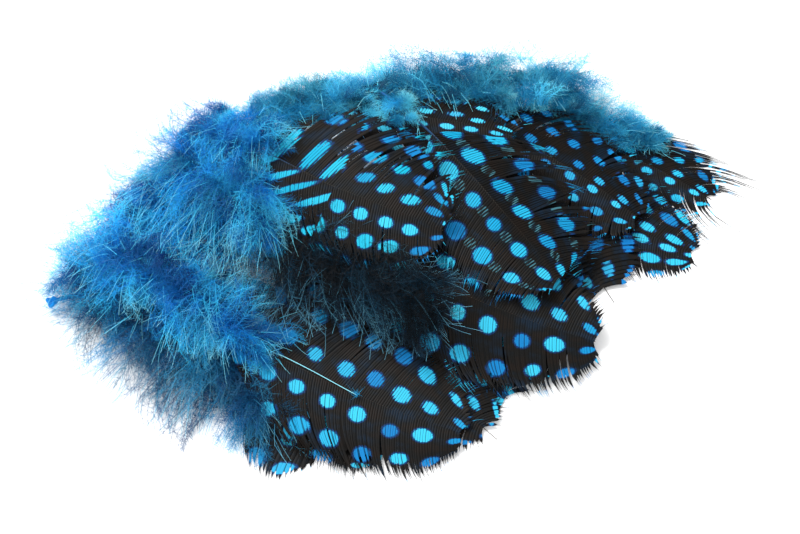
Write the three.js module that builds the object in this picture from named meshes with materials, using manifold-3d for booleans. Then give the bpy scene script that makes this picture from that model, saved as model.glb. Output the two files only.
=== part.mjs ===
// A strung bunch of dyed guinea fowl feathers lying on a surface, in millimetres, +Z up.
// The origin is on the surface, under the middle of the bunch, and +X is the bunch's long way.
// Each feather is one piece: its quill, vane and down grew together. One thread is stitched through all
// the quills, from the right end of the bunch to a knot at its left end.
import * as THREE from "three";
import { mergeVertices } from "three/addons/utils/BufferGeometryUtils.js";
import Module from "manifold-3d";

// Driving dimensions
const DOWN_DEPTH = 1.7; // crown of the down round a quill, pressed by the feathers above
const VANE_RISE = 0.8; // crown of the cupped vane above its edges
const DOWN_ENDS = [0.3, 0.62]; // share of the length where the down begins and ends thinning out
const BACK_REACH = 9; // how far the down reaches back past the quill's end
const OUTLINE_POWER = 2.4; // 2 is an ellipse, more is a blunter outline
const LAYER_GAP = 0.3; // air between a feather and what it lies on
const SAG = 0.03; // how fast a feather bends down beyond a point that holds it up, per mm
const THREAD_RADIUS = 0.4;
const THREAD_CLEARANCE = 0.3; // gap between the thread and the down that it runs through
const KNOT_RADIUS = 0.9;

// The facets
const RINGS = 12; // steps along a feather
const ACROSS = 6; // steps across it
const THREAD_SIDES = 6;
const THREAD_STEPS = 40;
const KNOT_SEGMENTS = [10, 8]; // round it and from pole to pole

// The feathers in the order in which they lie, lowest first. quill and tip are plan points. bow is how
// far the shaft's middle stands to the left of the straight line between them, and width is the vane's
// with its loose edges.
const FEATHERS = [
  { name: "under_middle_feather", quill: [-25, 25], tip: [20, -23], bow: -2, width: 25 },
  { name: "right_outer_feather", quill: [18, 35], tip: [58, 18], bow: 3, width: 16 },
  { name: "left_low_down_feather", quill: [-53, -3], tip: [-23, -26], bow: 1, width: 23 },
  { name: "right_lower_feather", quill: [16, 33], tip: [54, 7], bow: -3, width: 17 },
  { name: "left_end_down_feather", quill: [-52, -1], tip: [-26, -9], bow: 1, width: 23 },
  { name: "right_down_feather", quill: [12, 35], tip: [47, 30], bow: 2, width: 20 },
  { name: "lower_left_feather", quill: [-50, 5], tip: [-12, -32], bow: -2, width: 21 },
  { name: "right_inner_feather", quill: [8, 32], tip: [39, -4], bow: 3, width: 23 },
  { name: "left_high_down_feather", quill: [-48, 8], tip: [-20, 10], bow: 2, width: 23 },
  { name: "right_middle_feather", quill: [4, 32], tip: [44, 13], bow: 3, width: 21 },
  { name: "lower_edge_feather", quill: [-40, 16], tip: [1, -36], bow: -3, width: 23 },
  { name: "top_right_down_feather", quill: [0, 32], tip: [35, 38], bow: 2, width: 20 },
  { name: "lower_under_feather", quill: [-28, 23], tip: [18, -31], bow: -3, width: 24 },
  { name: "centre_lower_feather", quill: [-8, 29], tip: [34, -10], bow: 2, width: 26 },
  { name: "left_back_down_feather", quill: [-43, 13], tip: [-14, 23], bow: 2, width: 23 },
  { name: "top_middle_down_feather", quill: [-12, 29], tip: [17, 37], bow: 2, width: 20 },
  { name: "middle_under_feather", quill: [-15, 28], tip: [29, -16], bow: -2, width: 25 },
  { name: "middle_feather", quill: [-24, 23], tip: [36, -12], bow: -7, width: 27 },
  { name: "top_left_down_feather", quill: [-34, 20], tip: [-4, 33], bow: 2, width: 22 },
  { name: "top_small_spot_feather", quill: [-19, 27], tip: [22, 26], bow: 2, width: 20 },
  { name: "centre_feather", quill: [-4, 30], tip: [29, -3], bow: 2, width: 28 },
  { name: "lower_front_feather", quill: [-49, 4], tip: [12, -30], bow: -4, width: 28 },
  { name: "dark_down_feather", quill: [-37, 18], tip: [7, -9], bow: -3, width: 26 },
  { name: "top_front_feather", quill: [-31, 23], tip: [9, 4], bow: -2, width: 26 },
];

// The thread's route through the quills, from right to left, ending at the knot.
const THREAD_ROUTE = [
  [23, 34, 1.2],
  [16, 33, 2.5],
  [8, 32, 5],
  [0, 31, 7.5],
  [-12, 29, 9],
  [-22, 26, 9],
  [-31, 22, 8.5],
  [-40, 16, 7],
  [-48, 7, 5],
  [-55, -1, 3],
  [-62, -3.5, 2],
];

// A height map of the pile, in cells of 1 mm, from which each feather takes what it lies on.
const MAP_HALF = 80;
const MAP_WIDTH = 2 * MAP_HALF;
const pileHeight = new Float32Array(MAP_WIDTH * MAP_WIDTH);
const SUPPORT_REACH = 3; // a facet's corner rests on the highest cell within this distance
const TOP_SAMPLES = 8; // points each way in a facet when its top is entered in the map

function cellIndex(x, y) {
  return Math.floor(y + MAP_HALF) * MAP_WIDTH + Math.floor(x + MAP_HALF);
}

function supportUnder(x, y) {
  let highest = 0;
  for (let dx = -SUPPORT_REACH; dx <= SUPPORT_REACH; dx++)
    for (let dy = -SUPPORT_REACH; dy <= SUPPORT_REACH; dy++)
      if (Math.hypot(dx, dy) <= SUPPORT_REACH)
        highest = Math.max(highest, pileHeight[cellIndex(x + dx, y + dy)]);
  return highest > 0 ? highest + LAYER_GAP : 0;
}

// How full the outline is at a share t of the length: 0 at both ends and 1 in the middle.
function fullness(t) {
  return Math.sqrt(1 - Math.abs(2 * t - 1) ** OUTLINE_POWER);
}

// The thickness at a share t of the length and v across, from -1 at one edge to 1 at the other.
function thickness(t, v) {
  const thinning = THREE.MathUtils.smoothstep(t, ...DOWN_ENDS);
  const crown = THREE.MathUtils.lerp(DOWN_DEPTH, VANE_RISE, thinning);
  return crown * fullness(t) * (1 - v * v);
}

// The feather's shaft seen from above, from the back of its down to its tip, as one bowed curve.
function shaftCurve({ quill, tip, bow }) {
  const start = new THREE.Vector2(...quill);
  const end = new THREE.Vector2(...tip);
  const along = end.clone().sub(start).normalize();
  const left = new THREE.Vector2(-along.y, along.x);
  const back = start.addScaledVector(along, -BACK_REACH);
  const middle = back.clone().lerp(end, 0.5).addScaledVector(left, 2 * bow);
  return new THREE.QuadraticBezierCurve(back, middle, end);
}

// The underside as a grid of points: a sheet laid over the pile, which bends down beyond each point
// that holds it up as a parabola does.
function drapedSheet(feather) {
  const shaft = shaftCurve(feather);
  const sheet = [];
  for (let i = 0; i <= RINGS; i++) {
    const t = i / RINGS;
    const centre = shaft.getPoint(t);
    const along = shaft.getTangent(t);
    for (let j = 0; j <= ACROSS; j++) {
      const v = (2 * j) / ACROSS - 1;
      const side = (v * fullness(t) * feather.width) / 2;
      const x = centre.x - along.y * side;
      const y = centre.y + along.x * side;
      sheet.push({ t, v, x, y, held: supportUnder(x, y) });
    }
  }
  for (const p of sheet)
    p.z = Math.max(...sheet.map((q) => q.held - SAG * ((p.x - q.x) ** 2 + (p.y - q.y) ** 2)));
  return sheet;
}

// Enters the sheet's top side in the height map, by straight interpolation within each facet.
function enterInMap(sheet) {
  const at = (i, j) => sheet[i * (ACROSS + 1) + j];
  const mix = (a, b, c, d, s, r) => (a * (1 - s) + b * s) * (1 - r) + (c * (1 - s) + d * s) * r;
  for (let i = 0; i < RINGS; i++)
    for (let j = 0; j < ACROSS; j++) {
      const corners = [at(i, j), at(i + 1, j), at(i, j + 1), at(i + 1, j + 1)];
      const tops = corners.map((p) => p.z + thickness(p.t, p.v));
      for (let n = 0; n < TOP_SAMPLES ** 2; n++) {
        const s = (n % TOP_SAMPLES) / (TOP_SAMPLES - 1);
        const r = Math.floor(n / TOP_SAMPLES) / (TOP_SAMPLES - 1);
        const x = mix(...corners.map((p) => p.x), s, r);
        const y = mix(...corners.map((p) => p.y), s, r);
        const cell = cellIndex(x, y);
        pileHeight[cell] = Math.max(pileHeight[cell], mix(...tops, s, r));
      }
    }
}

// The closed body between the sheet and its top side: one ring of points for each step along the
// feather, over the top and back along the underside, with a pole at each end.
function featherGeometry(sheet) {
  const ringSize = 2 * ACROSS;
  const positions = [];
  for (let i = 1; i < RINGS; i++)
    for (let k = 0; k < ringSize; k++) {
      const onTop = k <= ACROSS;
      const p = sheet[i * (ACROSS + 1) + (onTop ? k : ringSize - k)];
      positions.push(p.x, p.y, p.z + (onTop ? thickness(p.t, p.v) : 0));
    }
  const poles = [sheet[0], sheet[sheet.length - 1]];
  const firstPole = positions.length / 3;
  poles.forEach((p) => positions.push(p.x, p.y, p.z));

  const faces = [];
  for (let k = 0; k < ringSize; k++) {
    const next = (k + 1) % ringSize;
    faces.push(firstPole, k, next);
    for (let ring = 0; ring < RINGS - 2; ring++) {
      const here = ring * ringSize;
      const beyond = here + ringSize;
      // The squares of the underside are cut along the same diagonals as those of the top above them,
      // so that a twisted square of the one never passes through the other
      if (k < ACROSS) faces.push(here + k, beyond + k, here + next, here + next, beyond + k, beyond + next);
      else faces.push(here + k, beyond + k, beyond + next, here + k, beyond + next, here + next);
    }
    const last = (RINGS - 2) * ringSize;
    faces.push(firstPole + 1, last + next, last + k);
  }
  const geometry = new THREE.BufferGeometry();
  geometry.setAttribute("position", new THREE.Float32BufferAttribute(positions, 3));
  geometry.setIndex(faces);
  return geometry;
}

// Solids for cutting and joining
const wasm = await Module();
wasm.setup();

function solidFrom(geometry) {
  geometry.deleteAttribute("normal");
  geometry.deleteAttribute("uv");
  const merged = mergeVertices(geometry);
  return new wasm.Manifold(
    new wasm.Mesh({
      numProp: 3,
      vertProperties: merged.attributes.position.array,
      triVerts: new Uint32Array(merged.index.array),
    }),
  );
}

function geometryFrom(solid) {
  const mesh = solid.getMesh();
  const geometry = new THREE.BufferGeometry();
  geometry.setAttribute("position", new THREE.BufferAttribute(mesh.vertProperties, 3));
  geometry.setIndex(new THREE.BufferAttribute(mesh.triVerts, 1));
  geometry.computeVertexNormals();
  return geometry;
}

// The thread as a round bar along its route, with its knot at the left end.
function threadSolid(extraRadius) {
  const route = new THREE.CatmullRomCurve3(THREAD_ROUTE.map((p) => new THREE.Vector3(...p)));
  const section = new THREE.Shape().absarc(0, 0, THREAD_RADIUS + extraRadius, 0, 2 * Math.PI);
  const bar = new THREE.ExtrudeGeometry(section, {
    steps: THREAD_STEPS,
    curveSegments: THREAD_SIDES,
    extrudePath: route,
  });
  const knot = new THREE.SphereGeometry(KNOT_RADIUS + extraRadius, ...KNOT_SEGMENTS);
  knot.translate(...THREAD_ROUTE[THREAD_ROUTE.length - 1]);
  return solidFrom(bar).add(solidFrom(knot));
}

const bunch = new THREE.Group();
bunch.name = "guinea_fowl_feather_bunch";

// The dye is turquoise, deeper in the down and black in the vanes.
const dyedFeather = new THREE.MeshStandardMaterial({ color: 0x14698f, roughness: 0.8, metalness: 0 });
const dyedThread = new THREE.MeshStandardMaterial({ color: 0x1c86c0, roughness: 0.7, metalness: 0 });

const threadHole = threadSolid(THREAD_CLEARANCE);
for (const feather of FEATHERS) {
  const sheet = drapedSheet(feather);
  enterInMap(sheet);
  const pierced = solidFrom(featherGeometry(sheet)).subtract(threadHole);
  const bodies = pierced.decompose().sort((a, b) => b.volume() - a.volume());
  const mesh = new THREE.Mesh(geometryFrom(bodies[0]), dyedFeather);
  mesh.name = feather.name;
  bunch.add(mesh);
}

const thread = new THREE.Mesh(geometryFrom(threadSolid(0)), dyedThread);
thread.name = "stitching_thread";
bunch.add(thread);

export default bunch;
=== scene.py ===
import math

import bpy
import numpy as np
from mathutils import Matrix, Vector
from mathutils.bvhtree import BVHTree


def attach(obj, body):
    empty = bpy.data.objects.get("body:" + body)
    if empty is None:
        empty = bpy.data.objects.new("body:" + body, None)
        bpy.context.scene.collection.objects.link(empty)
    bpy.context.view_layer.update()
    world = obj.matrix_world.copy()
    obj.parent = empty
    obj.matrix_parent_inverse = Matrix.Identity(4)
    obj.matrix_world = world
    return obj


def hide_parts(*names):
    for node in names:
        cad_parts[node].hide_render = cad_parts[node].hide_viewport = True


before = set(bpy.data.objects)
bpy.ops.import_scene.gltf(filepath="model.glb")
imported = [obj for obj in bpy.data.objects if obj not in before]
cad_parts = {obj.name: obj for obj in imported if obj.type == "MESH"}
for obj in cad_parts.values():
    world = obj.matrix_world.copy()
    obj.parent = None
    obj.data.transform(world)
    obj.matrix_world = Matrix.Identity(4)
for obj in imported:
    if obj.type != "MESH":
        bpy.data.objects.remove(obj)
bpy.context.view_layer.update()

# The feathers of the bunch.
# They are body feathers of a guinea fowl, whose vanes are black with white spots and whose down is white
# to grey, all dyed in one turquoise bath. Each grew as one piece, and a thread is stitched through all the
# quills. Sizes are in millimetres, on the plan of the frame.
MM = 0.001
BACK_REACH = 9.0  # how far the down reaches back past the quill's end
OUTLINE_POWER = 2.4  # 2 is an ellipse, more is a blunter outline
HIDDEN_DOWN = dict(down="deep", fluff=2, climb=5)  # where other feathers cover the quill

# The list has them from the lowest up, by the first words of their nodes' names. A shaft runs from quill
# to tip, and bow is how far its middle stands to the left of the straight line. vane is the share of the
# shaft where its webbed vane begins, and ends where it stops. sides is the width of its left and right
# halves as shares of half the width, split is how far their barbs have parted into tufts, and sweep is
# how far forward they lean, at the vane's base and in its outer part. spots and down name a pattern and
# a tint. fluff is how many down barbs grow for each millimetre, between the shares of the shaft that
# begins and stops say. climb is how steeply they stand up, reach is their length to the left and right
# as a share of half the width, and leans is their angle to the shaft, at its base and at its end. base is
# the tint of a second lot of down that grows before the first. bristles is the share of the last barbs
# that end in a long black bristle.
FEATHERS = [
    dict(HIDDEN_DOWN, name="under_middle", quill=(-25, 25), tip=(20, -23), bow=-2, width=25,
         vane=0.35, spots="deep"),
    dict(name="right_outer", quill=(18, 35), tip=(58, 18), bow=3, width=16, vane=0.30, ends=0.98,
         split=(0.25, 0.15), sweep=((0.3, 0.6), (0.3, 0.6)), bristles=0.5, spots="small", down="teal",
         fluff=5, climb=15),
    dict(name="left_low_down", quill=(-53, -3), tip=(-23, -26), bow=1, width=23,
         down="low", fluff=24, climb=40, reach=(1.2, 1.6)),
    dict(HIDDEN_DOWN, name="right_lower", quill=(16, 33), tip=(54, 7), bow=-3, width=17,
         vane=0.35, spots="long"),
    dict(name="left_end_down", quill=(-52, -1), tip=(-26, -9), bow=1, width=23,
         down="bright", fluff=30, climb=50, reach=(1.2, 1.1), begins=-0.2),
    dict(name="right_down", quill=(12, 35), tip=(47, 30), bow=2, width=20,
         down="teal", fluff=20, climb=35, reach=(1.3, 0.45)),
    dict(name="lower_left", quill=(-50, 5), tip=(-12, -32), bow=-2, width=21, vane=0.68,
         spots="deep", down="low", fluff=18, climb=30, reach=(1.0, 1.3)),
    dict(HIDDEN_DOWN, name="right_inner", quill=(8, 32), tip=(39, -4), bow=3, width=23,
         vane=0.40, ends=0.94, spots="deep"),
    dict(name="left_high_down", quill=(-48, 8), tip=(-20, 10), bow=2, width=23,
         down="bright", fluff=34, climb=50, reach=(1.1, 1.3)),
    dict(name="right_middle", quill=(4, 32), tip=(44, 13), bow=3, width=21, vane=0.22,
         split=(0.4, 0.3), spots="faint", down="teal", fluff=9, climb=20, stops=0.3),
    dict(HIDDEN_DOWN, name="lower_edge", quill=(-40, 16), tip=(1, -36), bow=-3, width=23,
         vane=0.28, ends=0.95, spots="large"),
    dict(name="top_right_down", quill=(0, 32), tip=(35, 38), bow=2, width=20,
         down="teal", fluff=24, climb=50, reach=(1.6, 0.7)),
    dict(HIDDEN_DOWN, name="lower_under", quill=(-28, 23), tip=(18, -31), bow=-3, width=24,
         vane=0.14, ends=0.96, spots="large"),
    dict(HIDDEN_DOWN, name="centre_lower", quill=(-8, 29), tip=(34, -10), bow=2, width=26,
         vane=0.45, ends=0.88, spots="deep"),
    dict(name="left_back_down", quill=(-43, 13), tip=(-14, 23), bow=2, width=23,
         down="bright", fluff=24, climb=50),
    dict(name="top_middle_down", quill=(-12, 29), tip=(17, 37), bow=2, width=20,
         down="teal", fluff=20, climb=50),
    dict(HIDDEN_DOWN, name="middle_under", quill=(-15, 28), tip=(29, -16), bow=-2, width=25,
         vane=0.45, spots="large"),
    dict(HIDDEN_DOWN, name="middle", quill=(-24, 23), tip=(36, -12), bow=-7, width=27,
         vane=0.34, spots="large"),
    dict(name="top_left_down", quill=(-34, 20), tip=(-4, 33), bow=2, width=22,
         down="teal", fluff=30, climb=55),
    dict(name="top_small_spot", quill=(-19, 27), tip=(22, 26), bow=2, width=20, vane=0.12,
         sides=(0.7, 1.1), split=(0.4, 0.1), spots="streaked", down="teal", fluff=14, climb=40, stops=0.3,
         reach=(1.0, 0.4)),
    dict(name="centre", quill=(-4, 30), tip=(29, -3), bow=2, width=28, vane=0.26, split=(0.6, 0.15),
         spots="bright", down="teal", fluff=7, climb=20, stops=0.18, reach=(0.5, 0.4)),
    dict(name="lower_front", quill=(-49, 4), tip=(12, -30), bow=-4, width=28, vane=0.34,
         sides=(1.0, 0.88), spots="large", down="bright", fluff=20, climb=50),
    dict(name="dark_down", quill=(-37, 18), tip=(7, -9), bow=-3, width=26,
         base="bright", down="dark", fluff=25, climb=12, begins=0.3, leans=(105, 25), reach=(0.9, 1.25)),
    dict(name="top_front", quill=(-31, 23), tip=(9, 4), bow=-2, width=26, vane=0.20,
         sides=(1.15, 0.8), split=(0.4, 0.15), sweep=((0.05, 0.45), (0.2, 0.2)), spots="barred",
         down="bright", fluff=34, climb=50, leans=(165, 95), stops=0.19),
]

SHAFT_POINTS = 241


def unit(vectors):
    """The vectors, each divided by its length."""
    return vectors / np.maximum(np.linalg.norm(vectors, axis=-1, keepdims=True), 1e-9)


def to_left(heading):
    """The level direction to the left of a heading: its x and y turned by a quarter."""
    return unit(np.stack([-heading[..., 1], heading[..., 0], 0 * heading[..., 0]], axis=-1))


def shaft_line(feather):
    """Where the shaft runs in plan, as one quadratic curve from the back of the down to the tip, bowed
    sideways at its middle. Returns the distance from the quill's end, the points and the directions."""
    quill = np.array(feather["quill"], float)
    tip = np.array(feather["tip"], float)
    along = (tip - quill) / np.linalg.norm(tip - quill)
    back = quill - BACK_REACH * along
    middle = (back + tip) / 2 + 2 * feather["bow"] * np.array([-along[1], along[0]])
    t = np.linspace(0, 1, SHAFT_POINTS)[:, None]
    points = (1 - t) ** 2 * back + 2 * t * (1 - t) * middle + t**2 * tip
    steps = np.linalg.norm(np.diff(points, axis=0), axis=1)
    distance = np.concatenate([[0], np.cumsum(steps)]) - BACK_REACH
    return distance, points, unit(np.gradient(points, axis=0))


def fullness(t):
    """How wide the outline is at a share t of the length: 0 at both ends, 1 in the middle."""
    return np.sqrt(np.clip(1 - np.abs(2 * t - 1) ** OUTLINE_POWER, 0, 1))


class Lie:
    """How one feather lies in the pile. A flat place on it is given by how far it is along the shaft
    from the quill's end and how far to its left, and at() turns that into a point of the bunch."""

    ROWS, COLUMNS = 25, 13
    FIRST, LAST = 0.03, 0.98  # the shares of the length between which the crown is measured
    REACH = 0.97  # and the share of the half width
    NARROWEST = 0.5  # the least half width that a place is measured against
    LOWEST = 0.15  # over the floor

    def __init__(self, feather):
        self.distance, self.points, self.heading = shaft_line(feather)
        self.length = self.distance[-1]
        self.half = feather["width"] / 2
        self.crown = self.measure_crown(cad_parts[feather["name"] + "_feather"])

    def share(self, along):
        """The share of the way from the back of the down to the tip."""
        return (along + BACK_REACH) / (self.length + BACK_REACH)

    def plan(self, along, left):
        """A flat place on the plan. Past its two ends the shaft is taken to run straight on."""
        held = np.clip(along, self.distance[0], self.length)
        x, y, dx, dy = [np.interp(held, self.distance, values)
                        for values in (*self.points.T, *self.heading.T)]
        return x + dx * (along - held) - dy * left, y + dy * (along - held) + dx * left

    def measure_crown(self, node):
        """The height of the node's upper side on a grid of places, by rays from above. Places that a ray
        misses take the height of their neighbours along the shaft, and smoothing both ways follows."""
        mesh = node.data
        tree = BVHTree.FromPolygons([v.co for v in mesh.vertices], [p.vertices for p in mesh.polygons])
        t = np.linspace(self.FIRST, self.LAST, self.ROWS)
        v = np.linspace(-self.REACH, self.REACH, self.COLUMNS)
        along = t * (self.length + BACK_REACH) - BACK_REACH
        x, y = self.plan(along[:, None], v[None] * self.half * fullness(t)[:, None])
        rays = [tree.ray_cast(Vector((px * MM, py * MM, 1)), Vector((0, 0, -1)))[0]
                for px, py in zip(x.ravel(), y.ravel())]
        crown = np.array([np.nan if hit is None else hit.z / MM for hit in rays]).reshape(x.shape)
        for column in crown.T:
            met = ~np.isnan(column)
            column[:] = np.interp(t, t[met], column[met])
        for _ in range(2):  # along the shaft, and then across it
            ends = np.concatenate([crown[:1], crown, crown[-1:]])
            crown = ((ends[:-2] + 2 * crown + ends[2:]) / 4).T
        return crown

    def at(self, along, left, lift=0.0):
        """The plan point at the height of the crown there plus a lift, in metres. Between the measured
        places the height is mixed from the four round it, and past the outline it is that of the edge."""
        x, y = self.plan(along, left)
        t = np.clip(self.share(along), self.FIRST, self.LAST)
        v = np.clip(left / np.maximum(self.half * fullness(t), self.NARROWEST), -1, 1)
        row = (t - self.FIRST) / (self.LAST - self.FIRST) * (self.ROWS - 1)
        column = (v + 1) / 2 * (self.COLUMNS - 1)
        i = np.minimum(row.astype(int), self.ROWS - 2)
        j = np.minimum(column.astype(int), self.COLUMNS - 2)
        s, r = row - i, column - j
        near = self.crown[i, j] * (1 - s) + self.crown[i + 1, j] * s
        far = self.crown[i, j + 1] * (1 - s) + self.crown[i + 1, j + 1] * s
        z = np.maximum(near * (1 - r) + far * r + lift, self.LOWEST)
        return np.stack([x, y, z], axis=-1) * MM


def grid_faces(rows, columns):
    """The quads of a grid of corners, as an array of rows, columns and four corner numbers."""
    first = np.arange(rows * columns).reshape(rows, columns)
    return np.stack([first[:-1, :-1], first[1:, :-1], first[1:, 1:], first[:-1, 1:]], axis=-1)


def strips(paths, widths, across, ridge=0.0):
    """Thin blades carried along many paths at once. Each point of a path gets one corner for each value
    of across, from -0.5 at one edge to 0.5 at the other, square to the path and level. The middle one is
    raised by the ridge. Returns the corners and the quads."""
    count, points = paths.shape[:2]
    level = to_left(np.gradient(paths, axis=1))
    across = np.array(across)
    corners = paths[:, :, None] + (across[:, None] * level[:, :, None]) * widths[:, :, None, None]
    corners[..., 2] += ridge * (1 - 2 * np.abs(across))
    one = grid_faces(points, len(across)).reshape(-1, 4)
    faces = (one[None] + np.arange(count)[:, None, None] * points * len(across)).reshape(-1, 4)
    return corners.reshape(-1, 3), faces


# The flat map of a feather. U is the distance along the shaft, or in the down a number for each tuft. V
# holds four bands: the down from root to tip, the web, the barbs and the shaft.
MAP_SPAN = 80.0  # millimetres along the shaft for the whole of U
HALF_SPAN = 16.0  # millimetres to each side in the bands of the web and the barbs
DOWN_BAND = (0.01, 0.10)
WEB_BAND = (0.12, 0.32)
BARB_BAND = (0.35, 0.95)
SHAFT_BAND = (0.97, 0.99)


def map_place(along, share, band):
    """A place of the map, for a share from 0 to 1 of that band. U is kept just inside the map."""
    along, share = np.broadcast_arrays(along, share)
    u = np.clip(along / MAP_SPAN, 0.002, 0.998)
    v = band[0] + (band[1] - band[0]) * np.clip(share, 0.0, 1.0)
    return np.stack([u.ravel(), v.ravel()], axis=-1)


def piece(name, parts, materials):
    """One object at the origin from parts (corners, faces, map places, material number), each with faces
    of one size."""
    mesh = bpy.data.meshes.new(name)
    corners = np.concatenate([p[0] for p in parts])
    starts = np.cumsum([0] + [len(p[0]) for p in parts])
    loops = np.concatenate([(p[1] + start).ravel() for p, start in zip(parts, starts)])
    sizes = np.concatenate([np.full(len(p[1]), p[1].shape[1]) for p in parts])
    places = np.concatenate([p[2] for p in parts])
    slots = np.concatenate([np.full(len(p[1]), p[3]) for p in parts])
    mesh.vertices.add(len(corners))
    mesh.vertices.foreach_set("co", corners.ravel().astype(np.float32))
    mesh.loops.add(len(loops))
    mesh.loops.foreach_set("vertex_index", loops.astype(np.int32))
    mesh.polygons.add(len(sizes))
    mesh.polygons.foreach_set("loop_start", (np.cumsum(sizes) - sizes).astype(np.int32))
    mesh.polygons.foreach_set("material_index", slots.astype(np.int32))
    mesh.polygons.foreach_set("use_smooth", np.ones(len(sizes), bool))
    layer = mesh.uv_layers.new(name="OFBake")
    layer.uv.foreach_set("vector", places[loops].ravel().astype(np.float32))
    mesh.update(calc_edges=True)
    made = bpy.data.objects.new(name, mesh)
    bpy.context.scene.collection.objects.link(made)
    for material in materials:
        mesh.materials.append(material)
    return made


# The quill and shaft are one tapered rod of keratin. It is clear at the quill, which took the dye, and
# brown along the vane. The barbs grow from its two sides.
QUILL_RADIUS = 0.26
SHAFT_END_RADIUS = 0.06
SHAFT_SIDES = 7
SHAFT_RINGS = 46
SHORT_OF_TIP = 1.5  # how far before the tip the shaft ends and the last barbs grow
ROD_CLEARANCE = 0.05  # between the underside of a rod and the floor


def square_to(path):
    """The level direction to the left of a path that is never upright, and the one square to both."""
    heading = unit(np.gradient(path, axis=0))
    left = to_left(heading)
    return left, np.cross(heading, left)


def tube(path, radius, sides):
    """A round rod along a path, with a radius for each of its points. Returns its corners, its quads and
    each corner's share of the way round."""
    left, up = square_to(path)
    turn = np.linspace(0, 2 * math.pi, sides + 1)
    ring = np.cos(turn)[None, :, None] * left[:, None] + np.sin(turn)[None, :, None] * up[:, None]
    corners = path[:, None] + radius[:, None, None] * ring
    corners[..., 2] = np.maximum(corners[..., 2], ROD_CLEARANCE * MM)
    faces = grid_faces(len(path), sides + 1).reshape(-1, 4)[:, ::-1]
    return corners.reshape(-1, 3), faces, turn[None] / (2 * math.pi)


def shaft_part(lie, slot):
    """A tube along the shaft, from the quill's end to just short of the tip. Its radius shrinks with the
    power 0.8 of the distance, and it is sunk in the vane to most of its height."""
    t = np.linspace(0, 1, SHAFT_RINGS)
    along = t * (lie.length - SHORT_OF_TIP)
    radius = QUILL_RADIUS + (SHAFT_END_RADIUS - QUILL_RADIUS) * t**0.8
    corners, faces, turn = tube(lie.at(along, np.zeros_like(along)), radius * MM, SHAFT_SIDES)
    return corners, faces, map_place(along[:, None], turn, SHAFT_BAND), slot


# The vane. Its barbs leave the shaft at 70 to 80 degrees and curve forward to 30 to 50 at the margin.
# Hooked barbules web them together, and past the web each barb ends in a bare dark hair.
BARB_PITCH = 0.46  # along the shaft
BURIED_PITCH = 0.8  # on feathers that show only at their margins
BARB_STEPS = 11
HAIR_STEPS = 3
SWEEP = (0.25, 0.25)  # how far forward a barb's tip lies, as a share of the vane that is left before it
SWEEP_SETTLES = 0.4  # the share of the vane from which the second sweep holds
CONTROL = (0.25, 0.64)  # where a barb's curve bends, as shares of its way forward and out
WIDEST = 0.5  # where the vane is widest, as a share of its length
NECK = (0.7, 2.5)  # the share of its width at its base, and how fast that grows to 1
VANE_LIFT = 0.12  # over the crown
RIDGE = 0.05
WEB_DEPTH = 0.05
FILLED = 0.86  # the share of its room that a barb fills
ROOM = (0.12, 1.6)  # the least, and the most in pitches
WEB_ENDS = (0.86, 1.0)  # as a share of a barb
HAIR_WIDTH = 0.09
HAIR_LENGTH = (0.8, 3.6)
BRISTLE_WIDTH = 0.2
BRISTLE_LENGTH = (3.0, 7.5)
BRISTLES_FROM = 0.6  # as a share of the vane
NEW_TUFT = (0.08, 0.16)  # the chance that a barb begins one
TUFT_DRIFT = 0.9  # how far a fully parted tuft leans at random
TUFT_HEIGHT = 0.35  # and how far it lifts or sinks
TUFTS_PART = 0.35  # as a share of a barb


def vane_outline(along, start, end):
    """The share of the full width at a place along the vane: 1 up to its widest place, then round to 0
    at the tip."""
    widest = start + WIDEST * (end - start)
    x = np.clip((along - widest) / (end - widest), 0, 1)
    return np.sqrt(1 - x**OUTLINE_POWER)


def gather_tufts(root, split, rng):
    """Runs of barbs that lean together, by a share of the distance from their middle, with a gap between
    one run and the next. Returns each barb's tuft, how far it leans and how high it stands."""
    tuft = np.cumsum(rng.random(len(root)) < rng.uniform(*NEW_TUFT))
    size = np.maximum(np.bincount(tuft), 1)
    middle = np.bincount(tuft, root) / size
    drift = rng.normal(0, TUFT_DRIFT, len(size)) * split
    lean = split * (middle[tuft] - root) + drift[tuft]
    height = TUFT_HEIGHT * split * rng.normal(size=len(size))[tuft] + 0.03 * rng.normal(size=len(root))
    return tuft, lean, height


def room_beside(along, out):
    """The distance from each place on a barb to the next barb, measured square to the barb."""
    forward, outward = np.gradient(along, axis=1), np.gradient(out, axis=1)
    run = np.hypot(forward, outward) + 1e-6
    return np.abs(np.gradient(along, axis=0) * outward - np.gradient(out, axis=0) * forward) / run


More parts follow.
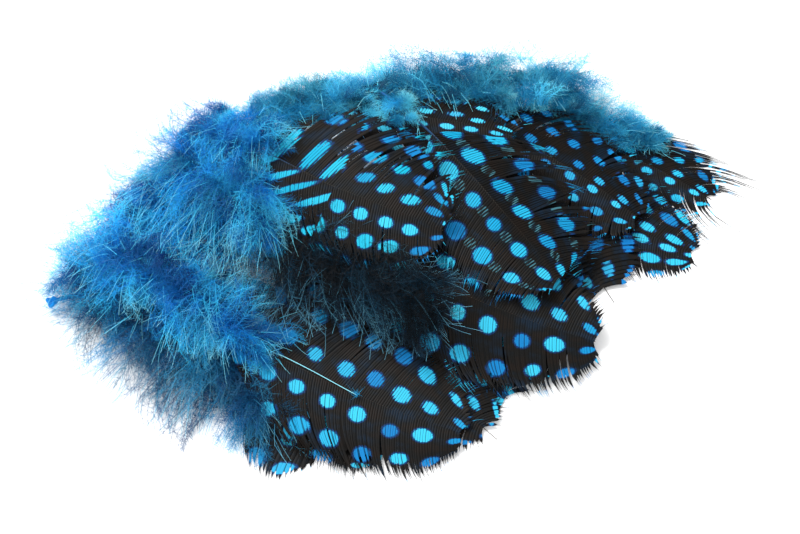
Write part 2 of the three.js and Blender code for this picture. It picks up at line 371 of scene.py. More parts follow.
def vane_parts(lie, feather, rng, slot):
    """Barbs and web on both sides of the shaft. In flat places each barb is a quadratic curve from its
    root to its place on the vane's outline. The curve's control point stands less far forward than out,
    so that the barb bends forward, and it runs on past the outline as a hair. The lean of its tuft grows
    with the square of the way out."""
    start, end = feather["vane"] * lie.length, feather.get("ends", 1.0) * lie.length
    pitch = BURIED_PITCH if feather["spots"] == "deep" else BARB_PITCH
    count = int((end - start) / pitch)
    parts = []
    sides, splits = feather.get("sides", (1, 1)), feather.get("split", (0.1, 0.1))
    for side, width, split, sweep in zip((1, -1), sides, splits, feather.get("sweep", (SWEEP, SWEEP))):
        u = (np.arange(count) + rng.uniform(-0.12, 0.12, count)) / count
        root = start + u * (end - start - SHORT_OF_TIP)
        tip = start + (end - start) * (u + (1 - u) * np.interp(u, (0, SWEEP_SETTLES), sweep))
        reach = width * lie.half * vane_outline(tip, start, end) * (1 + 0.03 * rng.normal(size=count))
        reach *= np.clip(NECK[0] + u * NECK[1], 0, 1)
        length = np.hypot(tip - root, reach)
        bristle = (rng.random(count) < feather.get("bristles", 0.0)) & (u > BRISTLES_FROM)
        hair = np.where(bristle, rng.uniform(*BRISTLE_LENGTH, count), rng.uniform(*HAIR_LENGTH, count))
        hair /= np.maximum(length, 3.0)
        way = np.concatenate([np.tile(np.linspace(0, 1, BARB_STEPS), (count, 1)),
                              1 + hair[:, None] * np.arange(1, HAIR_STEPS + 1) / HAIR_STEPS], axis=1)
        control = root + CONTROL[0] * (tip - root)
        along = (1 - way) ** 2 * root[:, None] + 2 * way * (1 - way) * control[:, None]
        along += way**2 * tip[:, None]
        out = (2 * CONTROL[1] * way * (1 - way) + way**2) * reach[:, None]

        tuft, lean, height = gather_tufts(root, split, rng)
        stray = rng.normal(0, 0.5, count)[:, None] * np.clip(way - 0.9, 0, None)
        leaned = along + lean[:, None] * way**2 + stray
        paths = lie.at(leaned, side * out, VANE_LIFT + height[:, None] * way)

        # A barb fills most of the room to its neighbour, and thins to a hair where the web ends
        web_end = rng.uniform(*WEB_ENDS, count)[:, None]
        thin = np.clip((way - web_end) / 0.08, 0, 1)
        bare = np.where(bristle, BRISTLE_WIDTH, HAIR_WIDTH)[:, None]
        fading = np.clip(1 - (way - 1) / (hair[:, None] + 1e-6), 0.2, 1)
        filled = FILLED * np.clip(room_beside(leaned, out), ROOM[0], ROOM[1] * pitch)
        widths = (filled * (1 - thin) + bare * thin) * fading
        corners, faces = strips(paths, widths * MM, (-0.5, 0.0, 0.5), RIDGE * MM)

        # On the map the vane keeps its width up to near the tip, so that rows of spots draw together there
        across = side * out / np.maximum(vane_outline(along, start, end), 0.35)
        share = (across + HALF_SPAN) / (2 * HALF_SPAN)
        spread = np.array([-0.15, 0.0, 0.15])
        places = map_place(along[..., None] + spread, share[..., None], BARB_BAND)
        parts.append((corners, faces if side > 0 else faces[:, ::-1], places, slot))

        # The web is a sheet just below the barbs, open between two tufts and past the end of the web
        kept = (tuft[:-1] == tuft[1:])[:, None] | (way[1:, 1:BARB_STEPS] < TUFTS_PART)
        kept &= way[1:, 1:BARB_STEPS] < np.minimum(web_end[1:], web_end[:-1])
        sheet = paths[:, :BARB_STEPS].copy()
        sheet[..., 2] -= WEB_DEPTH * MM
        faces = grid_faces(count, BARB_STEPS)[kept]
        places = map_place(along[:, :BARB_STEPS], share[:, :BARB_STEPS], WEB_BAND)
        parts.append((sheet.reshape(-1, 3), faces if side < 0 else faces[:, ::-1], places, slot))
    return parts


# The down. Its barbs are thin and limp, with long barbules that no hooks hold, so they stand apart in
# every direction. At the quill's end they point backwards, and towards the vane they lie forwards. Real
# ones are too fine and too many to show, so they are drawn fewer and several times as wide.
DOWN_STEPS = 9
DOWN_WIDTH = 0.08
TUFT_SIZE = 8
TUFT_LENGTH = (0.45, 1.15)  # as a share of the reach
TUFT_SHADE = (-0.2, 0.38)  # where a tuft's root stands on the scale of its tints
ANGLE_SPREAD = (0.45, 0.22)  # radians from tuft to tuft, and from barb to barb
BEND_SPREAD = (0.9, 0.35)
WAVE = 0.4
OVER = (0.5, 5.0)  # how far half of the tufts start over on the other side
BARBULES = 25  # pairs on a barb
BARBULE_LENGTH = 1.9
BARBULE_WIDTH = 0.075
BARBULE_LEAN = (50, 16)  # degrees from the barb, and their spread
BARBULE_TONE = 0.12  # how much paler their tips are, as painted light
NEEDLES = 0.5  # bare pale barb ends for each down barb, pale partly as painted highlights
NEEDLE_POINTS = 4
NEEDLE_WIDTH = 0.08


def down_end(feather):
    """The share of the shaft where the down ends: in the base of the vane, or near the tip."""
    return feather.get("stops", min(feather.get("vane", 1.0) + 0.10, 0.97))


def down_curves(lie, feather, rng, count, curl=1.0, together=TUFT_SIZE):
    """Curves of down barbs, tuft by tuft. A barb leaves the shaft at an angle that falls from its first
    to its last value by the power 0.6 of the way along, and turns steadily, with one wave added. It
    climbs at its own angle, which falls along the barb until it points down. Half of the tufts start
    over on the other side. Barbs of a tuft draw together by half towards their ends. curl scales the
    turn and the wave."""
    end = down_end(feather)
    begins = feather.get("begins", -1.0 / lie.length)
    tufts = max(count // together, 1)
    count = tufts * together

    def shared(values):
        return np.repeat(values, together)

    u = np.clip(shared(rng.random(tufts)) + rng.normal(0, 0.02, count), 0, 1)
    side = shared(np.where(rng.random(tufts) < 0.5, -1, 1))
    root = (begins + u * (end - begins)) * lie.length
    first, last = feather.get("leans", (165, 45))
    angle = np.radians(first + (last - first) * u**0.6)
    angle += shared(rng.normal(0, ANGLE_SPREAD[0], tufts)) + rng.normal(0, ANGLE_SPREAD[1], count)
    bend = shared(rng.normal(-0.2, BEND_SPREAD[0], tufts)) + rng.normal(0, BEND_SPREAD[1], count)
    wave = rng.normal(0, WAVE, count)
    climb = np.radians(feather["climb"]) * shared(rng.uniform(0.0, 1.4, tufts)) + rng.normal(0, 0.15, count)
    length = lie.half * np.where(side > 0, *feather.get("reach", (1.0, 1.0)))
    length *= shared(rng.uniform(*TUFT_LENGTH, tufts))
    length *= rng.uniform(0.85, 1.1, count) * (1 - 0.4 * u**3)
    over = shared(np.where(rng.random(tufts) < 0.5, rng.uniform(*OVER, tufts), 0))
    way = np.linspace(0, 1, DOWN_STEPS)[None]
    turned = angle[:, None] + curl * (bend[:, None] * way + wave[:, None] * np.sin(7 * way))
    rising = climb[:, None] * (1 - 1.7 * way)
    step = (length / (DOWN_STEPS - 1))[:, None]
    flat = step * np.cos(rising)
    along = root[:, None] + np.cumsum(np.cos(turned) * flat, axis=1) - np.cos(turned) * flat
    out = np.cumsum(np.sin(turned) * flat, axis=1) - np.sin(turned) * flat - over[:, None]
    lift = np.cumsum(np.sin(rising) * step, axis=1) + np.where(over > 0, 0.6, 0.1)[:, None]
    paths = lie.at(along, side[:, None] * out, lift)
    drawn = paths.reshape(tufts, together, DOWN_STEPS, 3)
    drawn = drawn + 0.5 * way[0, :, None] ** 2 * (drawn.mean(axis=1, keepdims=True) - drawn)
    return drawn.reshape(count, DOWN_STEPS, 3)


def barbule_part(paths, dye, shade, rng, slot):
    """Thin triangles all round each barb, longest at its middle, with tips made paler as painted light."""
    count = len(paths)
    spread = (np.arange(2 * BARBULES) // 2 + 0.5) / BARBULES
    spread = np.clip(spread[None] + rng.uniform(-0.015, 0.015, (count, 2 * BARBULES)), 0.01, 0.995)
    place = spread * (DOWN_STEPS - 1)
    low = place.astype(int)
    rest = (place - low)[..., None]
    which = np.arange(count)[:, None]
    base = paths[which, low] * (1 - rest) + paths[which, low + 1] * rest
    heading = unit(paths[which, low + 1] - paths[which, low])
    level = to_left(heading)
    roll = rng.uniform(0, 2 * math.pi, spread.shape)[..., None]
    lean = np.radians(rng.normal(*BARBULE_LEAN, spread.shape))[..., None]
    outward = np.cos(roll) * level + np.sin(roll) * np.cross(heading, level)
    reach = BARBULE_LENGTH * rng.uniform(0.5, 1.3, spread.shape) * (0.35 + np.sin(math.pi * spread**0.8))
    tips = base + (np.cos(lean) * heading + np.sin(lean) * outward) * reach[..., None] * MM
    tips[..., 2] = np.maximum(tips[..., 2], 0.1 * MM)
    half = heading * BARBULE_WIDTH / 2 * MM
    corners = np.stack([base - half, base + half, tips], axis=2).reshape(-1, 3)
    faces = np.arange(len(corners)).reshape(-1, 3)
    base_tone = 0.5 * spread + shade
    tones = np.stack([base_tone, base_tone, base_tone + BARBULE_TONE], axis=-1)
    places = map_place(dye[..., None] + np.array([-0.2, 0.2, 0.0]), tones, DOWN_BAND)
    return corners, faces, places, slot


def down_parts(lie, feather, rng, slot):
    """Down barbs as flat blades, their barbules, and among them the bare pale ends of straighter barbs,
    whose paleness is partly painted highlight.
    """
    grown = (down_end(feather) - feather.get("begins", 0.0)) * lie.length
    way = np.linspace(0, 1, DOWN_STEPS)[None]
    paths = down_curves(lie, feather, rng, int(feather["fluff"] * grown))
    count = len(paths)
    widths = np.broadcast_to((1.1 - 0.6 * way) * DOWN_WIDTH * MM, paths.shape[:2])
    corners, faces = strips(paths, widths, (-0.5, 0.5))
    tufts = count // TUFT_SIZE
    dye = np.repeat(rng.uniform(0.01, 0.99, tufts), TUFT_SIZE)[:, None] * MAP_SPAN
    shade = np.repeat(rng.uniform(*TUFT_SHADE, tufts), TUFT_SIZE)[:, None]
    shade = shade + rng.uniform(0, 0.1, count)[:, None]
    # The tone climbs the tints from root to tip: painted shade at the roots, painted light towards the tips
    tone = 0.5 * way + shade
    nudge = np.array([-0.2, 0.2])
    places = map_place(dye[..., None] + nudge, tone[..., None], DOWN_BAND)
    parts = [(corners, faces, places, slot), barbule_part(paths, dye, shade, rng, slot)]

    needles = down_curves(lie, feather, rng, int(NEEDLES * count), 0.3, 1)[:, -NEEDLE_POINTS:]
    # The needles take the palest tints: pale barb ends, partly painted highlights
    tone = np.broadcast_to(np.linspace(0.7, 1.0, NEEDLE_POINTS), needles.shape[:2])
    corners, faces = strips(needles, NEEDLE_WIDTH * MM * (1.6 - tone), (-0.5, 0.5))
    dye = rng.uniform(0.01, 0.99, len(needles))[:, None, None] * MAP_SPAN
    parts.append((corners, faces, map_place(dye + nudge, tone[..., None], DOWN_BAND), slot))
    return parts


def linear(colour):
    """An sRGB hex colour such as #1A2B3C as linear red, green, blue and alpha."""
    parts = [int(colour[i:i + 2], 16) / 255 for i in (1, 3, 5)]
    return [c / 12.92 if c <= 0.04045 else ((c + 0.055) / 1.055) ** 2.4 for c in parts] + [1.0]


def add(tree, kind, *values, take=0, **settings):
    """Adds a shader node with its settings. A kind in capitals is the operation of a maths node. Each value
    fills an input in turn: a socket is linked, None is passed over, and anything else is set. Returns the
    output that take names."""
    if kind.isupper():
        kind, settings = "Math", {"operation": kind}
    node = tree.nodes.new("ShaderNode" + kind)
    for name, value in settings.items():
        setattr(node, name, value)
    for socket, value in zip(node.inputs, values):
        if isinstance(value, bpy.types.NodeSocket):
            tree.links.new(value, socket)
        elif value is not None:
            socket.default_value = value
    return node.outputs[take]


def read_map(tree):
    """The place on the flat map, and its U and V."""
    place = add(tree, "UVMap", uv_map="OFBake")
    return place, *add(tree, "SeparateXYZ", place).node.outputs[:2]


KERATIN_IOR = 1.54  # and near enough that of other fibres


def new_material(name, roughness, specular, translucent):
    """A material with one Principled shader, mixed with a Translucent one of the same colour where
    translucent is over 0. Returns the material, its tree and the sockets to colour."""
    material = bpy.data.materials.new(name)
    material.use_nodes = True
    tree = material.node_tree
    shader = tree.nodes["Principled BSDF"]
    shader.inputs["Roughness"].default_value = roughness
    shader.inputs["IOR"].default_value = KERATIN_IOR
    shader.inputs["Specular IOR Level"].default_value = specular
    sockets = [shader.inputs["Base Color"]]
    if translucent:
        through = add(tree, "BsdfTranslucent")
        mix = add(tree, "MixShader", translucent, shader.outputs[0], through)
        tree.links.new(mix, tree.nodes["Material Output"].inputs["Surface"])
        sockets.append(through.node.inputs["Color"])
    return material, tree, sockets


# Spot patterns, in millimetres on the flat feather. pitch is from spot to spot along a row, first is
# from the shaft to the first row, rows is from row to row, size is a spot's length and breadth, and
# shift moves the whole pattern along. bars is how far along the shaft the first spots are drawn out
# into bars that reach it, and marks is the strength of the fine pale lines between the spots. lean is
# how far the pattern on the left leans forward, as a share of the way out.
SPOTS = {
    "large": dict(pitch=5.75, first=3.7, rows=5.9, size=(3.1, 2.9), shift=0.5, colour="#078CC4"),
    "bright": dict(pitch=6.2, first=3.0, rows=5.9, size=(3.2, 3.1), marks=0.6, lean=0.4, colour="#10A2CE"),
    "barred": dict(pitch=4.5, first=3.3, rows=4.3, size=(2.8, 2.6), shift=2.5, bars=22.5, colour="#0AACCB"),
    "small": dict(pitch=4.9, first=1.4, rows=2.7, size=(2.3, 1.6), lean=0.3, colour="#16AEDA"),
    # The streaked spots' pale colour is partly a painted highlight on the splayed barbs
    "streaked": dict(pitch=4.6, first=1.4, rows=2.9, size=(2.8, 1.3), lean=0.7, colour="#4CCDE4"),
    "faint": dict(pitch=4.9, first=1.4, rows=3.4, size=(2.2, 1.7), colour="#0F86C2"),
    "long": dict(pitch=5.1, first=1.6, rows=3.0, size=(3.5, 1.9), colour="#22B8DA"),
    "deep": dict(pitch=5.8, first=3.4, rows=5.7, size=(3.2, 3.1), colour="#0874BC"),
}
BLACK_BARBS = "#090A0A"
BROWN_BARBS = "#140D08"
BLUE_BARBS = "#071A2A"
SPOT_RIM = "#06366C"
BLUER_SPOT = "#0A76B8"
PALER_SPOT = "#38C2E2"
LINES = "#4C8C9C"
LINE_PITCH = 0.55  # a little more than the real one, which is too fine to show
MARK_REACH = (1.3, 1.1)  # of the lines between two spots, along and across
# The web is darkened to this share of the barbs' colour, as painted shade in the gaps between them
PAINTED_WEB_SHADE = 0.35
SPOT_DRIFT = (1.0, 0.9)  # the spread of spots about their places, along and across
SIZE_SPREAD = 0.3
FRAY_SCALE = 230.0  # on the map, where it is about a third of a millimetre
FRAY_DEPTH = 0.45
SPOT_EDGE = (1.24, 1.38)  # where a spot begins to fade, and where it has
RIM_EDGE = (1.36, 1.62)
MOTTLE_SCALE = 16.0  # about 5 mm

# The bars of the barred pattern. Those on the left lean forward by a share of the way out, and the spots
# after them more. Those on the right lean back.
BAR_MIDDLE = 3.6
BAR_LENGTH = 7.4
BAR_WIDTH = 1.9
BAR_ROWS = (7.9, 5.4)  # from the middle of the bars to the next row of spots, left and right
FORWARD = (0.2, 0.7)
FORWARD_FROM = (18.0, 30.0)  # where along the shaft the first begins to grow, and is the second
BACK = 1.0


def flat_place(tree, shift):
    """The place on the map, whether it is on a barb and not on the web, and the distances along the shaft
    and across it, which is over 0 on the left. shift moves the pattern along."""
    place, u, v = read_map(tree)
    along = add(tree, "MULTIPLY_ADD", u, MAP_SPAN, shift)
    between = (WEB_BAND[1] + BARB_BAND[0]) / 2
    on_barb = add(tree, "GREATER_THAN", v, between)
    of_web = add(tree, "MapRange", v, *WEB_BAND, -HALF_SPAN, HALF_SPAN)
    of_barb = add(tree, "MapRange", v, *BARB_BAND, -HALF_SPAN, HALF_SPAN)
    across = add(tree, "Mix", on_barb, None, of_web, of_barb)
    return place, on_barb, along, across


def nearest_crossing(tree, style, along, out, left):
    """Spots stand in rows that mirror about the shaft, each set off by half a pitch from the next. Row and
    column are the nearest whole numbers. Near the quill of a barred feather, a row of long narrow spots
    takes the place of the first rows, and the pattern leans. Returns the distance along it, how far the
    place is from its crossing, half the size of the spot there, and three random numbers for it."""
    rows = style["rows"]
    rows_out = add(tree, "SUBTRACT", out, style["first"])
    rows_out = add(tree, "DIVIDE", rows_out, rows)
    row = add(tree, "ROUND", rows_out)
    x_reach, y_reach = style["size"][0] / 2, style["size"][1] / 2
    if "bars" in style:
        barred = add(tree, "LESS_THAN", along, style["bars"] + style["shift"])
        forward = add(tree, "MapRange", along, *FORWARD_FROM, -FORWARD[0], -FORWARD[1])
        back = add(tree, "MULTIPLY", barred, BACK)
        lean = add(tree, "Mix", left, None, back, forward)
        along = add(tree, "MULTIPLY_ADD", out, lean, along)
        bar_rows = add(tree, "MapRange", left, 0.0, 1.0, BAR_ROWS[1], BAR_ROWS[0])
        from_bars = add(tree, "SUBTRACT", out, BAR_MIDDLE)
        from_bars = add(tree, "DIVIDE", from_bars, bar_rows)
        rows_out = add(tree, "Mix", barred, None, rows_out, from_bars)
        rows = add(tree, "Mix", barred, None, rows, bar_rows)
        row = add(tree, "ROUND", rows_out)
        row = add(tree, "MAXIMUM", row, 0.0)
        in_first_row = add(tree, "LESS_THAN", row, 0.5)
        on_bar = add(tree, "MULTIPLY", barred, in_first_row)
        x_reach = add(tree, "MapRange", on_bar, 0.0, 1.0, x_reach, BAR_WIDTH / 2)
        y_reach = add(tree, "MapRange", on_bar, 0.0, 1.0, y_reach, BAR_LENGTH / 2)
    columns_on = add(tree, "DIVIDE", along, style["pitch"])
    columns_on = add(tree, "MULTIPLY_ADD", row, 0.5, columns_on)
    column = add(tree, "ROUND", columns_on)
    crossing = add(tree, "CombineXYZ", column, row, left)
    chance = add(tree, "TexWhiteNoise", crossing, take="Color", noise_dimensions="3D")
    chances = add(tree, "SeparateColor", chance).node.outputs
    x = add(tree, "SUBTRACT", columns_on, column)
    x = add(tree, "MULTIPLY", x, style["pitch"])
    y = add(tree, "SUBTRACT", rows_out, row)
    y = add(tree, "MULTIPLY", y, rows)
    return along, (x, y), (x_reach, y_reach), chances


def spots_and_rims(tree, place, from_crossing, reach, chances):
    """The shares of spot and rim at a place. A spot is an ellipse, moved and sized at random and frayed by
    noise: the distance from its middle, as a share of its half size, plus noise is under a limit. The
    rim's limit is a little wider."""
    squares = 0.0
    for from_middle, half, drift, chance in zip(from_crossing, reach, SPOT_DRIFT, chances):
        moved = add(tree, "SUBTRACT", chance, 0.5)
        moved = add(tree, "MULTIPLY_ADD", moved, drift, from_middle)
        share = add(tree, "DIVIDE", moved, half)
        squares = add(tree, "MULTIPLY_ADD", share, share, squares)
    distance = add(tree, "SQRT", squares)
    distance = add(tree, "MULTIPLY_ADD", chances[2], SIZE_SPREAD, distance)
    fray = add(tree, "TexNoise", place, None, FRAY_SCALE, 2.0)
    edge = add(tree, "MULTIPLY_ADD", fray, FRAY_DEPTH, distance)
    return [add(tree, "MapRange", edge, *limits, 1.0, 0.0, interpolation_type="SMOOTHSTEP")
            for limits in (SPOT_EDGE, RIM_EDGE)]


def fine_marks(tree, style, along, from_crossing):
    """The share of the fine lines at a place: the upper part of a sine wave along the shaft, in an ellipse
    half way from one spot to the next."""
    from_spots = add(tree, "ABSOLUTE", from_crossing[0])
    x = add(tree, "SUBTRACT", style["pitch"] / 2, from_spots)
    squares = 0.0
    for from_middle, half in zip((x, from_crossing[1]), MARK_REACH):
        share = add(tree, "DIVIDE", from_middle, half)
        squares = add(tree, "MULTIPLY_ADD", share, share, squares)
    patch = add(tree, "MapRange", squares, 0.7, 1.0, style["marks"], 0.0)
    line = add(tree, "MULTIPLY", along, 2 * math.pi / LINE_PITCH)
    line = add(tree, "SINE", line)
    line = add(tree, "MapRange", line, 0.2, 0.8, 0.0, 1.0)
    return add(tree, "MULTIPLY", patch, line)


def vane_material(name, style):
    """Dyed keratin barbs: smooth, with a faint satin gloss, and a little light passes through. The ground
    is black, mottled brown, and blue where the dye took. Over it come the fine lines, the dark rims of
    the spots and the spots, each with its own tint. Where the pattern leans, along is moved by a share of
    the way out. The web takes the same pattern, darkened as painted shade between the barbs."""
    material, tree, sockets = new_material(name, 0.5, 0.12, 0.08)
    place, on_barb, along, across = flat_place(tree, style.get("shift", 0.0))
    left = add(tree, "GREATER_THAN", across, 0.0)
    out = add(tree, "ABSOLUTE", across)
    if "lean" in style:
        on_left = add(tree, "MULTIPLY", out, left)
        along = add(tree, "MULTIPLY_ADD", on_left, -style["lean"], along)
    along, from_crossing, reach, chances = nearest_crossing(tree, style, along, out, left)
    spot, rim = spots_and_rims(tree, place, from_crossing, reach, chances)

    mottle = add(tree, "TexNoise", place, None, MOTTLE_SCALE, 3.0)
    dye = add(tree, "MapRange", mottle, 0.38, 0.68, 0.0, 1.0)
    ground = add(tree, "ValToRGB", dye)
    tint = add(tree, "ValToRGB", chances[1])
    for ramp, colours in ((ground, (BROWN_BARBS, BLACK_BARBS, BLUE_BARBS)),
                          (tint, (BLUER_SPOT, style["colour"], PALER_SPOT))):
        ramp.node.color_ramp.elements.new(0.45)
        for element, colour in zip(ramp.node.color_ramp.elements, colours):
            element.color = linear(colour)

    layers = [(rim, linear(SPOT_RIM)), (spot, tint)]
    if "marks" in style:
        layers.insert(0, (fine_marks(tree, style, along, from_crossing), linear(LINES)))
    painted = ground
    before_colours = [None] * 5  # the inputs that a Mix node has between its factor and its two colours
    for share, colour in layers:
        painted = add(tree, "Mix", share, *before_colours, painted, colour, take=2, data_type="RGBA")
    # Painted shade: the web between the barbs is darkened
    shade = add(tree, "MapRange", on_barb, 0.0, 1.0, PAINTED_WEB_SHADE, 1.0)
    shaded = add(tree, "VectorMath", painted, None, None, shade, operation="SCALE")
    for socket in sockets:
        tree.links.new(shaded, socket)
    return material


# Down tints, from the root of a barb to the tips of its barbules and then to the bare barb ends. Besides
# the dye's own blue, the dark roots are painted shade within the fluff, and the pale tips and bare ends are
# partly painted light.
DOWN_TINTS = {
    "bright": ("#032C6C", "#057CC8", "#3AC8F0", "#98E8F8"),
    "teal": ("#084A70", "#1A90C0", "#58CEE6", "#A0ECF6"),
    "low": ("#04243F", "#085488", "#2488B4", "#84D0E6"),
    "deep": ("#06304E", "#0E5C90", "#2F92C4", "#8FDDF2"),
    "dark": ("#030709", "#06141E", "#12425C", "#6CB2CC"),
}
DYE_DEPTH = (0.55, 1.5)  # of the darkest and the brightest tufts


def down_material(name, tints):
    """Dyed down: matt fibres finer than the eye resolves, that let a good part of the light through. The
    tone runs from root to tip over the down's band of the map, dark at the roots as painted shade and
    pale at the tips as painted light, and each tuft took the dye differently."""
    material, tree, sockets = new_material(name, 0.5, 0.2, 0.35)
    _, u, v = read_map(tree)
    tone = add(tree, "MapRange", v, *DOWN_BAND, 0.0, 1.0)
    ramp = add(tree, "ValToRGB", tone).node
    for stop in (0.4, 0.72):
        ramp.color_ramp.elements.new(stop)
    for element, colour in zip(ramp.color_ramp.elements, tints):
        element.color = linear(colour)
    tuft = add(tree, "TexNoise", None, u, 90.0, 1.0, noise_dimensions="1D")
    depth = add(tree, "MapRange", tuft, 0.3, 0.7, *DYE_DEPTH)
    dyed = add(tree, "VectorMath", ramp.outputs[0], None, None, depth, operation="SCALE")
    for socket in sockets:
        tree.links.new(dyed, socket)
    return material


HORN_TINTS = ((0.1, "#0A5A94"), (0.26, "#22201A"), (0.8, "#3A2C1C"))  # at shares of the map's length


def shaft_material():
    """Keratin rod, smooth and a little glossy. The clear quill took the blue dye, and it turns horn brown
    where the vane begins."""
    material, tree, sockets = new_material("dyed horn shaft", 0.35, 0.3, 0.0)
    place, u, _ = read_map(tree)
    streaks = add(tree, "TexNoise", place, None, 60.0, 2.0)
    blotted = add(tree, "MULTIPLY_ADD", streaks, 0.1, u)
    ramp = add(tree, "ValToRGB", blotted).node
    ramp.color_ramp.elements.new(0.3)
    for element, (stop, colour) in zip(ramp.color_ramp.elements, HORN_TINTS):
        element.position = stop
        element.color = linear(colour)
    tree.links.new(ramp.outputs[0], sockets[0])
    return material


horn = shaft_material()
downs = {name: down_material(f"{name} dyed down", tints) for name, tints in DOWN_TINTS.items()}
vanes = {name: vane_material(f"{name} spotted barbs", style) for name, style in SPOTS.items()}

# A pale barb has come loose and lies along the shaft of the lower front feather, with a little down left
# at both its ends.
LOOSE_BARB = (34.0, 49.5)  # along the shaft
LOOSE_WIDTH = 0.13
LOOSE_LIFT = 0.5
LOOSE_FLUFF = 24  # fibres at each end
FLUFF_LENGTH = 0.9
FLUFF_TONE = 0.55
BARE_TONE = 0.98


def loose_parts(lie, rng, slot):
    """A blade from one place on the shaft to another, with a slight wave, and at each end a star of thin
    triangles with their points at random."""
    along = np.linspace(*LOOSE_BARB, 8)[None]
    path = lie.at(along, 0.4 * np.sin(along / 5), LOOSE_LIFT)
    corners, faces = strips(path, np.full(path.shape[:2], LOOSE_WIDTH * MM), (-0.5, 0.5))
    places = map_place(np.array([0.2, 0.6]), np.full((8, 2), BARE_TONE), DOWN_BAND)
    parts = [(corners, faces, places, slot)]
    for end in (path[0, 0], path[0, -1]):
        tips = end + rng.normal(0, FLUFF_LENGTH, (LOOSE_FLUFF, 3)) * MM
        tips[:, 2] = end[2] + np.abs(tips[:, 2] - end[2])
        base = end + rng.normal(0, 0.25, (LOOSE_FLUFF, 3)) * MM
        other = base + rng.normal(0, 0.06, (LOOSE_FLUFF, 3)) * MM
        corners = np.stack([base, other, tips], axis=1).reshape(-1, 3)
        dye = np.tile([30.0, 30.4, 30.2], LOOSE_FLUFF)
        places = map_place(dye, np.full(len(corners), FLUFF_TONE), DOWN_BAND)
        parts.append((corners, np.arange(len(corners)).reshape(-1, 3), places, slot))
    return parts


BASE_DOWN = dict(fluff=40, climb=50, leans=(165, 60), begins=-0.02)  # the lot that grows before the first
BASE_OVERLAP = 0.05

for number, feather in enumerate(FEATHERS):
    rng = np.random.default_rng(100 + number)
    lie = Lie(feather)
    parts = [shaft_part(lie, 0)] + down_parts(lie, feather, rng, 1)
    materials = [horn, downs[feather["down"]]]
    if "base" in feather:
        base = dict(feather, **BASE_DOWN, stops=feather["begins"] + BASE_OVERLAP)
        parts += down_parts(lie, base, rng, 2)
        materials.append(downs[feather["base"]])
    if "vane" in feather:
        parts += vane_parts(lie, feather, rng, 2)
        materials.append(vanes[feather["spots"]])
    if feather["name"] == "lower_front":
        parts += loose_parts(lie, rng, 1)
    made = piece(feather["name"] + "_plume", parts, materials)
    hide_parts(feather["name"] + "_feather")
    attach(made, "root")

# The stitching thread.
# It is spun of three strands of fibre and comes from the same dye bath. It is drawn through every quill,
# and its overhand knot shows as a bright blue bead at the left end of the bunch.
THREAD_ROUTE = [(23, 34, 1.2), (16, 33, 2.5), (8, 32, 5), (0, 31, 7.5), (-12, 29, 9), (-22, 26, 9),
                (-31, 22, 8.5), (-40, 16, 7), (-48, 7, 5), (-55, -1, 3), (-62, -3.5, 2)]
THREAD_STEPS = 40  # from one corner of the route to the next
STRAND_RADIUS = 0.2
STRAND_OFFSET = 0.2  # from the middle of the thread
STRAND_TURN = 2.6  # the length of one turn
STRAND_SIDES = 5
STRAND_BANDS = ((0.02, 0.24), (0.26, 0.48), (0.50, 0.72))  # of the map
KNOT_SIZE = 0.28
KNOT_RADIUS = 0.34  # of the thread in the knot
KNOT_SIDES = 7
KNOT_STEPS = 100
KNOT_BAND = (0.76, 0.98)


def thread_parts():
    """Three tubes wound as helices round a smooth curve through the corners of the route. Between two
    corners the curve is the cubic whose slope at each is half the step between its neighbours. The knot
    is a tube along a trefoil: sin t + 2 sin 2t, cos t - 2 cos 2t, -sin 3t."""
    route = np.array(THREAD_ROUTE, float)
    ends = np.concatenate([2 * route[:1] - route[1:2], route, 2 * route[-1:] - route[-2:-1]])
    before, first, second, after = (ends[i:len(ends) - 3 + i, None] for i in range(4))
    t = np.linspace(0, 1, THREAD_STEPS, endpoint=False)[None, :, None]
    curve = first + (second - before) / 2 * t + (before - 2.5 * first + 2 * second - after / 2) * t**2
    curve = (curve + (1.5 * first - before / 2 - 1.5 * second + after / 2) * t**3).reshape(-1, 3)
    run = np.concatenate([[0], np.cumsum(np.linalg.norm(np.diff(curve, axis=0), axis=1))])
    left, up = square_to(curve)
    parts = []
    for strand, band in enumerate(STRAND_BANDS):
        turn = 2 * math.pi * (run / STRAND_TURN + strand / len(STRAND_BANDS))
        path = curve + STRAND_OFFSET * (np.cos(turn)[:, None] * left + np.sin(turn)[:, None] * up)
        corners, faces, share = tube(path * MM, np.full(len(path), STRAND_RADIUS * MM), STRAND_SIDES)
        parts.append((corners, faces, map_place((run / run[-1] * MAP_SPAN)[:, None], share, band), 0))
    t = np.linspace(0, 2 * math.pi, KNOT_STEPS)
    knot = np.stack([np.sin(t) + 2 * np.sin(2 * t), np.cos(t) - 2 * np.cos(2 * t), -np.sin(3 * t)], axis=1)
    path = (route[-1] + KNOT_SIZE * knot) * MM
    corners, faces, share = tube(path, np.full(KNOT_STEPS, KNOT_RADIUS * MM), KNOT_SIDES)
    parts.append((corners, faces, map_place((t / (2 * math.pi) * MAP_SPAN)[:, None], share, KNOT_BAND), 0))
    return parts


def thread_material():
    """Spun fibre, dyed bright blue: matt, with the slant lights and darks of its twisted strands."""
    material, _, sockets = new_material("dyed spun thread", 0.6, 0.2, 0.0)
    sockets[0].default_value = linear("#0C86D8")
    return material


thread = piece("knotted_thread", thread_parts(), [thread_material()])
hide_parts("stitching_thread")
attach(thread, "root")

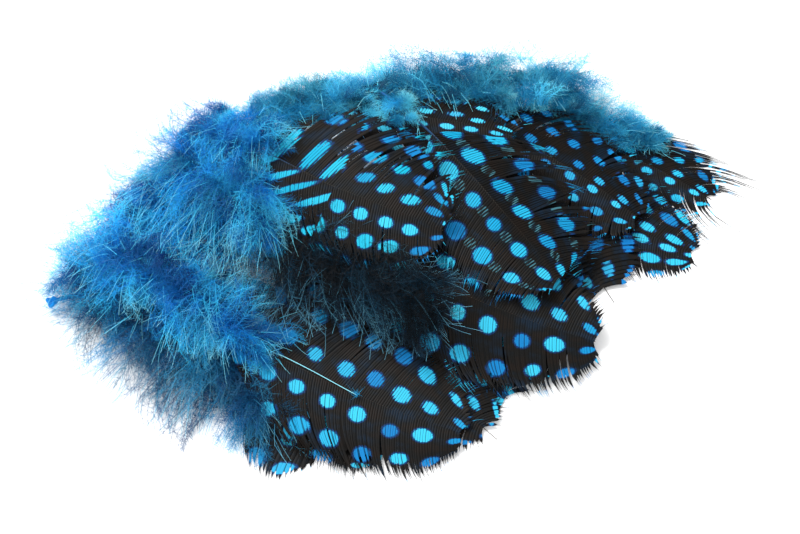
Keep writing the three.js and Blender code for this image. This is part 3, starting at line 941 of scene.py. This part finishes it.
# The studio: a plain white floor, one large soft light above and behind, a weaker one in front, and white
# surroundings.
FLOOR_HALF = 3.0
SURROUNDINGS = 0.78


def paper_material():
    """White paper, matt, so that it shows no more than the soft shadow of the bunch."""
    material, _, sockets = new_material("white paper floor", 0.9, 0.1, 0.0)
    sockets[0].default_value = linear("#FFFFFF")
    return material


def soft_light(name, place, side, power):
    """A square lamp of that side in metres, turned to face the middle of the bunch."""
    lamp = bpy.data.lights.new(name, "AREA")
    lamp.size = side
    lamp.energy = power
    holder = bpy.data.objects.new(name, lamp)
    holder.location = place
    holder.rotation_euler = (-Vector(place)).to_track_quat("-Z", "Y").to_euler()
    bpy.context.scene.collection.objects.link(holder)


corners = [(x * FLOOR_HALF, y * FLOOR_HALF, 0) for x, y in ((-1, -1), (1, -1), (1, 1), (-1, 1))]
floor_mesh = bpy.data.meshes.new("floor")
floor_mesh.from_pydata(corners, [], [(0, 1, 2, 3)])
floor_mesh.materials.append(paper_material())
floor = bpy.data.objects.new("floor", floor_mesh)
bpy.context.scene.collection.objects.link(floor)
soft_light("key light", (-0.28, 0.30, 0.55), 0.3, 4.8)
soft_light("front fill", (0.15, -0.45, 0.5), 0.6, 1.5)
world = bpy.data.worlds.new("white surroundings")
world.use_nodes = True
background = world.node_tree.nodes["Background"]
background.inputs["Color"].default_value = (1, 1, 1, 1)
background.inputs["Strength"].default_value = SURROUNDINGS
bpy.context.scene.world = world

# The camera looks down on the bunch along +Y, from 60 degrees above the floor.
LENS = 135.0
DISTANCE = 0.54
ELEVATION = math.radians(60)
AIM = Vector((0, 0.0048, 0))
camera_data = bpy.data.cameras.new("camera")
camera_data.lens = LENS
camera = bpy.data.objects.new("camera", camera_data)
camera.location = AIM + DISTANCE * Vector((0, -math.cos(ELEVATION), math.sin(ELEVATION)))
camera.rotation_euler = (math.pi / 2 - ELEVATION, 0, 0)
bpy.context.scene.collection.objects.link(camera)
bpy.context.scene.camera = camera
bpy.context.scene.view_settings.view_transform = "Standard"
